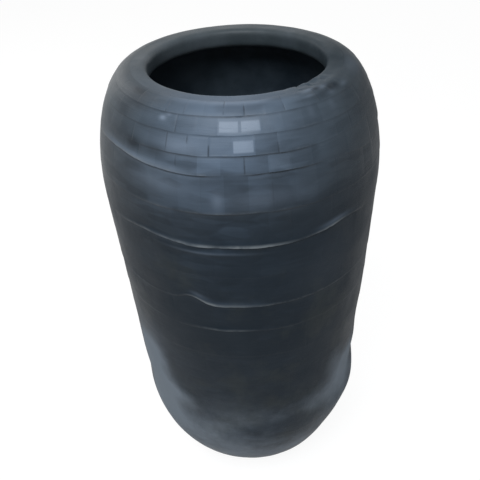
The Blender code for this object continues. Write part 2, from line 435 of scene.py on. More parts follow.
def lapShown(number, angle):
    # How plainly a lap shows at an azimuth
    least = laps["shownBelow"]
    steps = [isNumber(number, i + 1) * (shown - least) for i, shown in enumerate(laps["shown"])]
    isLow = calc("GREATER_THAN", number, laps["shoulderCount"] - 0.5)
    faded = laps["fadedShoulder"] - isLow * (laps["fadedShoulder"] - laps["fadedBody"])
    patches = ramp(cloud(aroundAndUp(angle, number * 2.9), 2.2, 3.0, 0.6, 3.0), 0.38, 0.62)
    patches = patches * (1.0 - faded) + faded
    front = calc("MAXIMUM", isLow, crispness(angle, laps["crispRestLaps"]))
    isReal = calc("GREATER_THAN", number, 0.5)
    return total([least, *steps]) * patches * front * isReal


def blockPlace(turn, strip):
    # The block's own number and chance, the share across it, and the nearest seam: how far it is and how deep
    around = laps["blocksPerTurn"]
    block = calc("FLOOR", turn) % around
    nearest = calc("ROUND", turn)
    blockWidth = fullTurn * sleeve["bodyRadius"] / around
    return {
        "block": block,
        "across": calc("FRACT", turn),
        "fromSeam": calc("ABSOLUTE", turn - nearest) * blockWidth,
        "seamHere": ramp(chance(nearest % around, strip, 3.0), 0.50, 0.75),
        "chance": chance(block, strip, 5.0),
    }


def blockStrength(angle, run):
    # The print of the blocks is crisp on the shoulder's front and fades down the body
    strength = crispness(angle, laps["crispRest"])
    for start, end, rest in laps["printFades"]:
        strength = strength * ramp(run, start, end, 1.0, rest)
    return strength


# The cover
cover = {
    "wander": 0.0030,
    "lip": 0.00040,
    "lipLength": 0.0052,
    "seamDepth": 0.00035,
    "seamHalfWidth": 0.0010,
    "blockTilt": 0.00045,
    "bulge": 0.0018,
    "ripple": 0.0005,
    "seed": 4.0,
    "innerStep": 0.040,
    "mergeDistance": 0.00001,
    # Strip, azimuth, half width in degrees and height of the lower edges that stand up
    "ridges": (
        (3, -134, 14, 0.0009),
        (4, -93, 8, 0.0005),
        (4, -125, 5, 0.0004),
        (5, -128, 9, 0.0010),
        (5, -107, 8, 0.0018),
        (5, -86, 8, 0.0022),
        (5, -55, 6, 0.0014),
        (7, -106, 5, 0.0015),
        (7, -93, 9, 0.0009),
        (8, -100, 7, 0.0010),
    ),
    # Lap, azimuth, half width in degrees and how far it hangs down
    "sags": (
        (4, -146, 12, -0.0030),
        (4, -29, 12, 0.0070),
        (6, -132, 10, -0.0030),
        (6, -49, 9, -0.0050),
        (8, -113, 4.5, -0.0070),
        (8, -71, 12, 0.0010),
        (9, -97, 30, -0.0017),
    ),
    # Azimuth, run, half width in degrees, half height and height of bumps and hollows in the whole wall
    "bumps": (
        (-104, 0.1370, 11, 0.0016, 0.0012),
        (-165, 0.130, 16, 0.050, 0.0012),
        (-165, 0.360, 14, 0.014, -0.0014),
        (-15, 0.300, 14, 0.026, -0.0016),
        (-15, 0.347, 11, 0.009, -0.0030),
        (-20, 0.383, 14, 0.012, 0.0026),
        (-38, 0.432, 14, 0.012, -0.0014),
        (-131, 0.340, 12, 0.010, 0.0008),
    ),
    # The same of the torn patch in the lip
    "nicks": (-50, 0.009, 9, 0.006, 0.0034),
}


def ridgeHeight(lap, angle):
    # How high the lower edges stand up
    found = []
    for strip, azimuth, halfWidth, lift in cover["ridges"]:
        found.append(nearAzimuth(angle, azimuth, halfWidth) * isNumber(lap["strip"], strip) * lift)
    return total(found)


def coverRows(spec):
    # The section's rows as (run, inner): outside with rows gathered at each lap, then back along the inside
    start, end = sleeve["seatLand"], outlineLength - sleeve["seatLand"]

    def rowsInStrip(pitch, count):
        share = np.linspace(0, 1, count)
        share -= laps["rowPull"] * np.sin(fullTurn * share) / fullTurn
        return laps["edge"] + (pitch * 0.998 - laps["edge"]) * share

    runs = [coverStart]
    lap = start
    for _ in range(laps["shoulderCount"]):
        runs += list(lap + rowsInStrip(laps["shoulderPitch"], laps["shoulderRows"]))
        lap += laps["shoulderPitch"]
    while lap < end:
        count = laps["bodyRows"] if lap < laps["lowFrom"] else laps["lowRows"]
        runs += [run for run in lap + rowsInStrip(laps["bodyPitch"], count) if run < end - 0.0005]
        lap += laps["bodyPitch"]
    runs.append(end)
    inner = list(np.linspace(end, start, round((end - start) / spec["innerStep"]) + 1))
    return [(run, 0.0) for run in runs] + [(run, 1.0) for run in inner] + [(runs[0], 0.0)]


def rowMesh(name, rows):
    runs, inner = np.array(rows).T
    points = wallPoints(runs, inner * coverThickness)
    mesh = bpy.data.meshes.new(name)
    edges = [(i, i + 1) for i in range(len(rows) - 1)]
    mesh.from_pydata([(r, 0, z) for r, z in points], edges, [])
    for label, values in (("run", runs), ("inner", inner)):
        mesh.attributes.new(label, "FLOAT", "POINT").data.foreach_set("value", values.astype(np.float32))
    return mesh


def newShapeTree(name, numbers):
    # A geometry tree with named inputs: geometry first, then the numbers, then the material
    inputs = [("Geometry", "Geometry")] + [(label, "Float") for label in numbers] + [("Material", "Material")]
    return newTree(name, "GeometryNodeTree", inputs, [("Geometry", "Geometry")])


def closeTree(given, out, shape):
    tree = treeOf(shape)
    real = lay(tree, "GeometryNodeRealizeInstances", {"Geometry": shape})
    feed(out["Geometry"], lay(tree, "GeometryNodeSetMaterial", {"Geometry": real, "Material": given["Material"]}))


def storeRun(shape, run):
    inputs = {"Geometry": shape, "Name": "stripRun", "Value": run}
    return lay(treeOf(shape), "GeometryNodeStoreNamedAttribute", inputs, data_type="FLOAT", domain="POINT")


def bakeTree(name, tree, mesh, values, finish):
    # Runs a tree on a mesh and keeps the result as a plain mesh
    source = addPiece(name + "Source", mesh)
    modifier = source.modifiers.new("build", "NODES")
    modifier.node_group = tree
    for item in tree.interface.items_tree:
        if item.item_type == "SOCKET" and item.in_out == "INPUT" and item.name != "Geometry":
            modifier[item.identifier] = finish if item.name == "Material" else values[item.name]
    depsgraph = bpy.context.evaluated_depsgraph_get()
    result = bpy.data.meshes.new_from_object(source.evaluated_get(depsgraph))
    source.modifiers.remove(modifier)
    bpy.data.objects.remove(source)
    finishMesh(result)
    result.name = name
    return addPiece(name, result)


def coverTree(spec, numbers):
    tree, given, out = newShapeTree("stripBuiltCover", numbers)
    rows, seed = given["Geometry"], given["Seed"]
    lastRow = lay(tree, "GeometryNodeAttributeDomainSize", {"Geometry": rows}, "Point Count") - 1.0
    size = {"Vertices": given["Sides"], "Side Segments": lastRow, "Radius": 1.0, "Depth": 1.0}
    tube = lay(tree, "GeometryNodeMeshCylinder", size, "Mesh", fill_type="NONE")
    position = lay(tree, "GeometryNodeInputPosition")
    corner = splitXyz(position)
    rowNumber = calc("ROUND", (0.5 - corner["Z"]) * lastRow)

    def atRow(value, kind):
        inputs = {"Geometry": rows, "Value": value, "Index": rowNumber}
        return lay(tree, "GeometryNodeSampleIndex", inputs, data_type=kind)

    def named(label):
        return lay(tree, "GeometryNodeInputNamedAttribute", {"Name": label}, data_type="FLOAT")

    run = atRow(named("run"), "FLOAT")
    inner = atRow(named("inner"), "FLOAT")
    innerPlace = splitXyz(atRow(position, "FLOAT_VECTOR"))

    # Columns gather at the seams between the blocks
    lap = lapPlace(run, calc("ARCTAN2", corner["Y"], corner["X"]))
    columns = laps["columnsPerBlock"]
    snapped = calc("ROUND", lap["turn"] * columns) * (1 / columns)
    turn = snapped - calc("SINE", snapped * fullTurn) * (laps["seamPull"] / fullTurn)
    block = blockPlace(turn, lap["strip"])
    angle = (turn - lap["shift"]) * (fullTurn / laps["blocksPerTurn"])
    cosine, sine = calc("COSINE", angle), calc("SINE", angle)
    ring = joinXyz(cosine * sleeve["bodyRadius"], sine * sleeve["bodyRadius"], run)

    # Each lap runs a little up and down round the sleeve
    def lapWander(number):
        swing = cloud(joinXyz(cosine, sine, number * 3.7), 1.3, 3.0, 0.6, seed)
        return (swing - 0.5) * 2.0 * given["Wander"]

    hangs = [mix(lap["share"], lapWander(lap["strip"]), lapWander(lap["nextStrip"]))]
    for number, azimuth, halfWidth, fall in spec["sags"]:
        isTop = isNumber(lap["strip"], number) * (1.0 - lap["share"])
        isFoot = isNumber(lap["nextStrip"], number) * lap["share"]
        hangs.append(nearAzimuth(angle, azimuth, halfWidth) * fall * (isTop + isFoot))
    free = ramp(run, sleeve["seatLand"], 0.020) * ramp(run, outlineLength - 0.030, outlineLength - 0.012, 1.0, 0.0)
    drift = total(hangs) * free

    # The outline, sampled where the row now lies
    outside = lay(tree, "GeometryNodeDeleteGeometry", {"Geometry": rows, "Selection": named("inner")})
    curve = lay(tree, "GeometryNodeMeshToCurve", {"Mesh": outside})
    inputs = {"Curves": curve, "Length": run + drift - coverStart}
    sample = outputsOf(addNode(tree, "GeometryNodeSampleCurve", inputs, mode="LENGTH", data_type="FLOAT"))
    outer, along = splitXyz(sample["Position"]), splitXyz(sample["Tangent"])

    # Heights above the outline: the laps' steps and lips, the blocks, and what is uneven in the whole wall
    climb = (lap["below"] - given["Lap Edge"]) / (lap["pitch"] - given["Lap Edge"])
    tuck = given["Lap Depth"] * lapShown(lap["strip"], angle) * (calc("MAXIMUM", climb, 0.0) - 1.0)
    lipNoise = cloud(joinXyz(cosine, sine, lap["strip"] * 5.1), 4.0, 4.0, 0.6, seed)
    lipLift = given["Lip"] * ramp(lipNoise, 0.42, 0.66) * lapShown(lap["nextStrip"], angle)
    breaks = ramp(cloud(ring, 55.0, 3.0, 0.6, seed), 0.34, 0.60, 0.45, 1.0)
    lip = ramp(lap["above"], 0.0, spec["lipLength"], 1.0, 0.0) * (lipLift + ridgeHeight(lap, angle)) * breaks
    strength = blockStrength(angle, run)
    seam = ramp(block["fromSeam"], 0.0, spec["seamHalfWidth"], -1.0, 0.0) * block["seamHere"]
    seam = seam * given["Seam Depth"] * strength
    tipAlong = (block["chance"] - 0.5) * (lap["share"] - 0.5)
    tipAcross = (chance(block["block"], lap["strip"], 9.0) - 0.5) * (block["across"] - 0.5)
    tip = (tipAlong + tipAcross) * given["Block Tilt"] * 2.0 * strength
    slow = (cloud(ring, 9.0, 2.0, 0.5, seed) - 0.5) * given["Bulge"]
    ripple = (cloud(ring, 45.0, 3.0, 0.5, seed) - 0.5) * given["Ripple"]
    nick = spots(angle, run, [spec["nicks"]]) * (cloud(ring, 160.0, 3.0, 0.6, seed) - 0.55)
    ends = ramp(run, sleeve["seatLand"], 0.012) * ramp(run, outlineLength - 0.014, outlineLength - 0.006, 1.0, 0.0)
    lift = total([tuck, lip, seam, tip, slow, ripple, nick]) * ends + spots(angle, run, spec["bumps"]) * free

    # outward is the tangent turned a quarter: (-tz, tx)
    radius = mix(inner, outer["X"] - along["Z"] * lift, innerPlace["X"])
    level = mix(inner, outer["Z"] + along["X"] * lift, innerPlace["Z"])
    place = joinXyz(radius * cosine, radius * sine, level)
    moved = lay(tree, "GeometryNodeSetPosition", {"Geometry": storeRun(tube, run), "Position": place})
    inputs = {"Geometry": moved, "Distance": spec["mergeDistance"]}
    closeTree(given, out, lay(tree, "GeometryNodeMergeByDistance", inputs))
    return tree


def makeCover(spec, finish):
    values = {
        "Sides": float(laps["blocksPerTurn"] * laps["columnsPerBlock"]),
        "Lap Depth": laps["depth"],
        "Lap Edge": laps["edge"],
        "Wander": spec["wander"],
        "Lip": spec["lip"],
        "Seam Depth": spec["seamDepth"],
        "Block Tilt": spec["blockTilt"],
        "Bulge": spec["bulge"],
        "Ripple": spec["ripple"],
        "Seed": spec["seed"],
    }
    rows = rowMesh("coverRows", coverRows(spec))
    return bakeTree("coverSkin", coverTree(spec, list(values)), rows, values, finish)


# Effects that several finishes share
def useGroup(tree, group, **inputs):
    return outputsOf(addNode(tree, "ShaderNodeGroup", inputs, node_tree=group))


def blendColour(factor, a, b):
    a, b = ((*colour, 1.0) if isinstance(colour, tuple) else colour for colour in (a, b))
    return lay(treeOf(factor), "ShaderNodeMix", {0: factor, 6: a, 7: b}, 2, data_type="RGBA")


def sleevePlaceGroup():
    # Where a point lies on the sleeve: azimuth, run, and a place that keeps still when the sleeve is squeezed
    outputs = [("Angle", "Float"), ("Run", "Float"), ("Surface", "Vector")]
    tree, _, out = newTree("sleevePlace", "ShaderNodeTree", [], outputs)
    at = splitXyz(lay(tree, "ShaderNodeTexCoord", output="Object"))
    run = lay(tree, "ShaderNodeAttribute", output="Fac", attribute_name="stripRun")
    feed(out["Angle"], calc("ARCTAN2", at["Y"], at["X"]))
    feed(out["Run"], run)
    feed(out["Surface"], joinXyz(at["X"], at["Y"], run))
    return tree


def rubberGrainGroup():
    inputs = [("Surface", "Vector"), ("Depth", "Float")]
    tree, given, out = newTree("rubberGrain", "ShaderNodeTree", inputs, [("Height", "Float"), ("Mottle", "Float")])
    fine = cloud(given["Surface"], 900.0, 3.0, 0.6)
    coarse = cloud(given["Surface"], 170.0, 3.0, 0.55)
    feed(out["Height"], (fine * 0.4 + coarse) * given["Depth"])
    feed(out["Mottle"], cloud(given["Surface"], 26.0, 5.0, 0.6))
    return tree


def clothPrintGroup():
    # A plain weave pressed into the surface
    inputs = [("Around", "Float"), ("Along", "Float"), ("Pitch", "Float")]
    tree, given, out = newTree("clothPrint", "ShaderNodeTree", inputs, [("Height", "Float")])
    u = given["Around"] / given["Pitch"]
    v = given["Along"] / given["Pitch"]
    warp, weft = (calc("ABSOLUTE", calc("SINE", part * math.pi)) for part in (u, v))
    sides = (calc("FLOOR", u) + calc("FLOOR", v)) % 2.0
    feed(out["Height"], weft + (warp - weft) * sides)
    return tree


def edgeWearAndGlintGroup():
    # A mask along an edge, broken up as rubbing breaks it up; it lightens the cover's lap edges as wear and as
    # painted highlight
    inputs = [("Edge", "Float"), ("Surface", "Vector")]
    tree, given, out = newTree("edgeWearAndGlint", "ShaderNodeTree", inputs, [("Mask", "Float")])
    patches = ramp(cloud(given["Surface"], 38.0, 4.0, 0.6), 0.40, 0.66)
    scratches = ramp(cloud(given["Surface"], 240.0, 3.0, 0.6), 0.35, 0.62)
    feed(out["Mask"], given["Edge"] * patches * scratches)
    return tree


def dustGroup():
    inputs = [("Amount", "Float"), ("Surface", "Vector")]
    tree, given, out = newTree("rubberDust", "ShaderNodeTree", inputs, [("Mask", "Float")])
    broad = ramp(cloud(given["Surface"], 17.0, 5.0, 0.65), 0.36, 0.68)
    specks = ramp(cloud(given["Surface"], 420.0, 2.0, 0.5), 0.62, 0.74)
    feed(out["Mask"], (broad * 0.85 + specks * 0.25) * given["Amount"])
    return tree


sleevePlace = sleevePlaceGroup()
rubberGrain = rubberGrainGroup()
clothPrint = clothPrintGroup()
edgeWearAndGlint = edgeWearAndGlintGroup()
rubberDust = dustGroup()


def newFinish(name, colour, roughness, specular=0.5, metallic=0.0):
    made = bpy.data.materials.new(name)
    made.use_nodes = True
    into = made.node_tree.nodes["Principled BSDF"].inputs
    into["Base Color"].default_value = (*colour, 1.0)
    into["Roughness"].default_value = roughness
    into["Metallic"].default_value = metallic
    into["Specular IOR Level"].default_value = specular
    return made, made.node_tree, into


def addBump(into, height):
    feed(into["Normal"], lay(treeOf(height), "ShaderNodeBump", {"Height": height, "Strength": 1.0, "Distance": 1.0}))


# The cover's finish
coverLook = {
    "dark": (0.006, 0.0125, 0.020),
    "blue": (0.092, 0.131, 0.186),
    # The colour of the painted highlights and glints
    "highlight": (0.215, 0.268, 0.345),
    # The colour of the lower edges' wear and of the painted highlight on edges and ridges
    "ridge": (0.170, 0.190, 0.205),
    "olive": (0.030, 0.036, 0.034),
    "dust": (0.212, 0.249, 0.290),
    # Soot in the seams and the cloth's hollows, and the painted shade under the laps
    "sootAndShade": (0.009, 0.013, 0.018),
    # The greyer tint of the sides, away from the front's painted light
    "side": (0.090, 0.109, 0.113),
    "shoulderGloss": 0.34,
    "bodyGloss": 0.13,
    "roughness": 0.44,
    # Run, and how blue and light the rubber is there: lightest on the shoulder, where the light tone is painted
    # sheen, darkest on the body and lighter again towards the foot
    "tones": (
        (0.000, 0.66),
        (0.030, 0.84),
        (0.062, 0.66),
        (0.070, 0.42),
        (0.083, 0.46),
        (0.098, 0.32),
        (0.128, 0.15),
        (0.200, 0.05),
        (0.330, 0.07),
        (0.400, 0.20),
        (0.470, 0.32),
    ),
    # How much the tone changes with broad blotches, the tape's streaks and the blocks
    "blotches": 0.60,
    "streaks": 0.16,
    "blockTones": 0.30,
    # Width, height and strength of dabs that are wider than high
    "dabs": ((0.022, 0.0060, 0.18), (0.034, 0.016, 0.20)),
    "moss": 0.4,
    # Painted light makes the front, towards the key lamp, the lightest and fullest in colour; painted shade makes the
    # right side the darkest, and it is also the dullest; the left loses some gloss
    "frontLightHalfWidth": 38,
    "frontLightRest": 0.42,
    "dullAzimuth": -10,
    "dullHalfWidth": 36,
    "rightShadeTone": 0.55,
    "dullGloss": 0.92,
    "leftAzimuth": -150,
    "leftHalfWidth": 21,
    "leftGloss": 0.46,
    # Strip, block number and brightness of the blocks with a painted glint, and the brightness of the painted glint
    # on a few others at random
    "highlightBlocks": ((1, -11, 0.52), (1, -10, 0.60), (2, -10, 0.92)),
    "luckyGlintBlocks": 0.16,
    # Painted highlights and sheen on the lips, the ridges and the shoulder, and pale marks
    "paintedHighlightSpots": (
        (-92, 0.0085, 13.0, 0.0022, 0.50),
        (-122.5, 0.0262, 1.2, 0.0016, 0.85),
        (-120.0, 0.0225, 1.0, 0.0012, 0.45),
        (-113, 0.0450, 8.0, 0.0045, 0.42),
        (-122, 0.0775, 8.0, 0.005, 0.28),
        (-99, 0.0870, 1.4, 0.005, 0.24),
        (-84, 0.0870, 9.0, 0.006, 0.18),
        (-104, 0.1374, 10.0, 0.001, 0.25),
        (-110, 0.1900, 3.0, 0.002, 0.24),
        (-98, 0.1935, 8.0, 0.002, 0.14),
        (-117, 0.1300, 7.0, 0.0022, 0.15),
        (-54, 0.1262, 5.0, 0.0018, 0.24),
        (-12, 0.0140, 8.0, 0.006, 0.12),
        (-148, 0.0625, 7.0, 0.0030, 0.22),
        (-134, 0.0635, 8.0, 0.0024, 0.34),
        (-119, 0.0640, 8.0, 0.0022, 0.28),
        (-55, 0.0075, 3.0, 0.0016, 0.40),
        (-47, 0.0100, 2.0, 0.0014, 0.40),
        (-45.5, 0.0172, 1.8, 0.0014, 0.20),
        (-34.5, 0.0158, 2.0, 0.0014, 0.18),
        (-57, 0.0138, 2.2, 0.0010, 0.26),
        (-48.5, 0.0264, 1.4, 0.0030, 0.10),
        (-59.8, 0.0258, 1.2, 0.0040, 0.12),
        (-92, 0.0360, 16.0, 0.0150, 0.10),
        (-58, 0.1650, 12.0, 0.0250, 0.05),
        (-144, 0.2680, 8.0, 0.0140, 0.12),
    ),
    # Dark patches; the one at azimuth -158 is painted shade that dims the lamp's highlight at the left of the rim
    "darkSpots": (
        (-137, 0.0300, 13.0, 0.020, 0.40),
        (-158, 0.0170, 14.0, 0.012, 0.28),
        (-41.8, 0.0128, 3.5, 0.0027, 1.10),
        (-55, 0.0350, 14.0, 0.0200, 0.18),
        (-51, 0.0088, 1.8, 0.0014, 0.75),
        (-51, 0.0160, 3.5, 0.0035, 0.42),
        (-62, 0.0160, 4.0, 0.0014, 0.30),
        (-72, 0.0085, 5.0, 0.0016, 0.30),
        (-134, 0.0122, 12.0, 0.0040, 0.26),
        (-143, 0.0118, 4.0, 0.003, 0.45),
        (-138, 0.0220, 4.5, 0.003, 0.35),
        (-146, 0.0330, 4.0, 0.004, 0.40),
        (-146, 0.0495, 7.0, 0.006, 0.40),
        (-135, 0.0525, 3.2, 0.004, 0.75),
        (-124, 0.0530, 4.0, 0.004, 0.60),
        (-88, 0.1560, 14.0, 0.012, 0.35),
        (-127, 0.1140, 10.0, 0.0060, 0.45),
        (-124, 0.1390, 8.0, 0.0040, 0.22),
        (-115.5, 0.1925, 3.2, 0.005, 0.85),
        (-93, 0.2080, 5.0, 0.006, 0.5),
    ),
    # Where dust lies thick
    "dustSpots": (
        (-145, 0.358, 14.0, 0.034, 1.20),
        (-131, 0.340, 7.0, 0.009, 0.60),
        (-138, 0.296, 5.0, 0.018, 0.30),
        (-142, 0.370, 6.0, 0.012, 0.35),
        (-151, 0.300, 8.0, 0.022, 1.15),
        (-34, 0.358, 20.0, 0.036, 0.85),
        (-30, 0.334, 7.0, 0.014, 1.00),
        (-46, 0.308, 5.0, 0.012, 0.30),
        (-122, 0.390, 20.0, 0.020, 0.66),
        (-92, 0.352, 20.0, 0.014, 0.32),
        (-88, 0.430, 40.0, 0.018, 0.52),
    ),
    "dustUneven": 1.1,
    "dustThick": 0.93,
    # A thin film of dust: low down, on the left, where it is also painted light from the left, in the lee of the laps
    # and everywhere
    "filmLow": 0.40,
    "leftDustAndLight": 0.30,
    "filmLee": 0.12,
    "filmRest": 0.02,
    # Lower edges lightened by wear and by painted highlight, the height of a ridge that gets the full painted
    # highlight, the painted shade under the laps and the dark lines at the seams
    "wornAndLit": 0.35,
    "ridgeHighlight": 0.80,
    "ridgeHighlightHeight": 0.0018,
    "under": 0.80,
    "seams": 0.6,
    # Relief of the tape's cloth, pitch and height, and how deep the seams' lines are
    "clothPitch": 0.0011,
    "clothHeight": 0.000018,
    "seamRelief": 0.00022,
}


def rightShadeAndDullness(look, angle, loss):
    # 1, and less on the right side, where the colour is painted in shade and the gloss is lower
    return 1.0 - nearAzimuth(angle, look["dullAzimuth"], look["dullHalfWidth"]) * loss


def glossShare(look, angle):
    # How much of the gloss each side keeps
    left = nearAzimuth(angle, look["leftAzimuth"], look["leftHalfWidth"]) * look["leftGloss"]
    return rightShadeAndDullness(look, angle, look["dullGloss"]) * (1.0 - left)


def rubberColour(look, angle, tone, rightShadeShare):
    # Dark rubber with a blue-grey tint, painted lightest and bluest at the front, towards the key lamp, as painted
    # light, and darker on the right side as painted shade
    near = nearAzimuth(angle, laps["crispAzimuth"], look["frontLightHalfWidth"])
    front = near * (1 - look["frontLightRest"]) + look["frontLightRest"]
    front = front * rightShadeAndDullness(look, angle, rightShadeShare * look["rightShadeTone"])
    tint = blendColour(near, look["side"], look["blue"])
    return blendColour(ramp(tone * front, 0.0, 1.0), look["dark"], tint)


def streakPrint(angle, run):
    # Fine lines round the sleeve, left by the curing tape
    return cloud(aroundAndUp(angle, run * 160.0), 1.6, 3.0, 0.6) - 0.5


def dabs(surface, width, depth):
    # Patches that are wider than high, each of its own tone
    at = splitXyz(surface)
    stretched = joinXyz(at["X"] * (1 / width), at["Y"] * (1 / width), at["Z"] * (1 / depth))
    inputs = {"Vector": stretched, "Scale": 1.0, "Smoothness": 0.35}
    return splitXyz(lay(treeOf(surface), "ShaderNodeTexVoronoi", inputs, "Color", feature="SMOOTH_F1"))["X"] - 0.5


def coverFinish(look):
    made, tree, into = newFinish("coverRubber", look["blue"], look["roughness"], look["bodyGloss"])
    angle, run, surface = useGroup(tree, sleevePlace).values()
    lap = lapPlace(run, angle)
    block = blockPlace(lap["turn"], lap["strip"])
    grain = useGroup(tree, rubberGrain, Surface=surface, Depth=0.00012)
    strength = blockStrength(angle, run)
    topShown, footShown = (lapShown(lap[key], angle) for key in ("strip", "nextStrip"))

    # The tone along the sleeve, with painted sheen on the shoulder
    stops = addNode(tree, "ShaderNodeValToRGB", {"Fac": run * (1 / outlineLength)})
    elements = stops.color_ramp.elements
    while len(elements) < len(look["tones"]):
        elements.new(0.5)
    for element, (at, tone) in zip(elements, look["tones"]):
        element.position = at / outlineLength
        element.color = (tone, tone, tone, 1.0)
    streak = streakPrint(angle, run)
    changes = [
        (cloud(surface, 11.0, 4.0, 0.6, 2.0) - 0.5) * look["blotches"],
        streak * look["streaks"],
        *(dabs(surface, width, depth) * amount for width, depth, amount in look["dabs"]),
        (block["chance"] - 0.5) * strength * look["blockTones"],
    ]
    tone = Value(stops.outputs["Color"]) + total(changes) * ramp(run, 0.080, 0.140, 1.0, 0.55)
    # Painted light at the front and painted shade on the right side, the shade weaker near the mouth
    colour = rubberColour(look, angle, tone, ramp(run, 0.004, 0.030, 0.2, 1.0))
    mossy = ramp(cloud(surface, 20.0, 4.0, 0.6, 7.0), 0.50, 0.68)
    colour = blendColour(mossy * ramp(run, 0.110, 0.150) * look["moss"], colour, look["olive"])

    # Painted glints on some blocks, painted highlights and sheen, and dark spots with some painted shade among them
    paintedGlint = []
    for strip, number, amount in look["highlightBlocks"]:
        isBlock = isNumber(block["block"], number % laps["blocksPerTurn"])
        paintedGlint.append(isNumber(lap["strip"], strip) * isBlock * amount)
    inBlock = ramp(block["fromSeam"], 0.0006, 0.0022) * ramp(lap["above"], 0.0014, 0.0034)
    inBlock = inBlock * ramp(lap["below"], 0.0030, 0.0052)
    paintedGlint = total(paintedGlint) * inBlock
    luckyGlint = ramp(block["chance"], 0.88, 0.97) * lap["onShoulder"] * inBlock * strength * look["luckyGlintBlocks"]
    paintedHighlight = paintedGlint + luckyGlint + spots(angle, run, look["paintedHighlightSpots"])
    paintedHighlight = paintedHighlight * ramp(grain["Mottle"], 0.30, 0.55, 0.65, 1.0)
    colour = blendColour(calc("MINIMUM", paintedHighlight, 0.9), colour, look["highlight"])
    colour = blendColour(spots(angle, run, look["darkSpots"]), colour, look["dark"])

    # Dust low down, most of it on the left, where it is also painted light from the left, and in the lee of the laps
    left = nearAzimuth(angle, -158, 30) * ramp(run, 0.250, 0.400)
    lee = ramp(lap["below"], 0.0012, 0.0070, 1.0, 0.0) * topShown
    amount = ramp(run, 0.300, 0.450) * look["filmLow"] + left * look["leftDustAndLight"] + lee * look["filmLee"]
    amount = amount + look["filmRest"]
    uneven = cloud(surface, 22.0, 5.0, 0.62, 5.0) - 0.5
    thick = spots(angle, run, look["dustSpots"]) + uneven * look["dustUneven"]
    film = useGroup(tree, rubberDust, Amount=amount, Surface=surface)["Mask"]
    dust = calc("MINIMUM", film + ramp(thick, 0.20, 1.30, 0.0, look["dustThick"]), 0.9)
    colour = blendColour(dust, colour, look["dust"])

    # Lower edges lightened by wear and by painted highlight, painted highlights on the ridges, painted shade in a
    # line under each lap, and dark lines along the seams
    lowerEdge = ramp(lap["above"], 0.0002, 0.0022, 1.0, 0.0) * footShown
    wornAndLit = useGroup(tree, edgeWearAndGlint, Edge=lowerEdge, Surface=surface)["Mask"]
    ridgeHighlight = ridgeHeight(lap, angle) * (1 / look["ridgeHighlightHeight"]) * ramp(lap["above"], 0.0004, 0.0032, 1.0, 0.0)
    ridgeHighlight = ridgeHighlight * look["ridgeHighlight"] * ramp(cloud(surface, 60.0, 3.0, 0.6), 0.35, 0.60, 0.45, 1.0)
    colour = blendColour(calc("MINIMUM", wornAndLit * look["wornAndLit"] + ridgeHighlight, 0.85), colour, look["ridge"])
    # Painted shade: a dark line under each lap's edge
    under = ramp(lap["below"], 0.0, 0.0026, 1.0, 0.0) * topShown * look["under"]
    seam = ramp(block["fromSeam"], 0.0002, 0.0010, 1.0, 0.0) * block["seamHere"] * strength
    seam = seam * ramp(cloud(surface, 90.0, 2.0, 0.5), 0.38, 0.58)
    colour = blendColour(calc("MAXIMUM", under, seam * look["seams"]), colour, look["sootAndShade"])
    feed(into["Base Color"], colour)

    gloss = ramp(run, 0.070, 0.140, look["shoulderGloss"], look["bodyGloss"])
    feed(into["Specular IOR Level"], gloss * glossShare(look, angle))
    rough = (grain["Mottle"] - 0.5) * 0.30 + (block["chance"] - 0.5) * strength * -0.12
    rough = rough + dust * 0.25 + paintedGlint * -0.10 + look["roughness"]
    feed(into["Roughness"], calc("MAXIMUM", rough, 0.22))
    around = angle * sleeve["bodyRadius"]
    threads = useGroup(tree, clothPrint, Around=around, Along=run, Pitch=look["clothPitch"])["Height"]
    relief = grain["Height"] + threads * look["clothHeight"] + seam * -look["seamRelief"]
    addBump(into, relief + streak * ramp(run, 0.070, 0.140, 0.00030, 0.00010))
    return made


def chaferFinish(look):
    made, tree, into = newFinish("chaferCloth", look["blue"], 0.5, 0.30)
    angle, run, surface = useGroup(tree, sleevePlace).values()
    grain = useGroup(tree, rubberGrain, Surface=surface, Depth=0.00010)
    threads = useGroup(tree, clothPrint, Around=angle * upperBead[0], Along=run, Pitch=0.0013)["Height"]
    blotch = cloud(surface, 11.0, 4.0, 0.6, 2.0) - 0.5
    # Painted light: the far side of the lip, which faces the lamp, is painted lighter, and rubberColour adds the
    # painted front light and right-side shade
    farLipLight = nearAzimuth(angle, 90, 45) * 0.36
    tone = blotch * 0.45 + streakPrint(angle, run) * look["streaks"] + farLipLight + 0.64
    colour = rubberColour(look, angle, tone, 0.2)
    dust = useGroup(tree, rubberDust, Amount=0.16, Surface=surface)["Mask"]
    colour = blendColour(dust, colour, look["dust"])
    colour = blendColour(ramp(threads, 0.15, 0.45, 1.0, 0.0) * 0.14, colour, look["sootAndShade"])
    feed(into["Base Color"], colour)
    feed(into["Specular IOR Level"], glossShare(look, angle) * 0.28)
    feed(into["Roughness"], ramp(grain["Mottle"], 0.3, 0.7, 0.42, 0.56))
    addBump(into, grain["Height"] + threads * 0.00003)
    return made


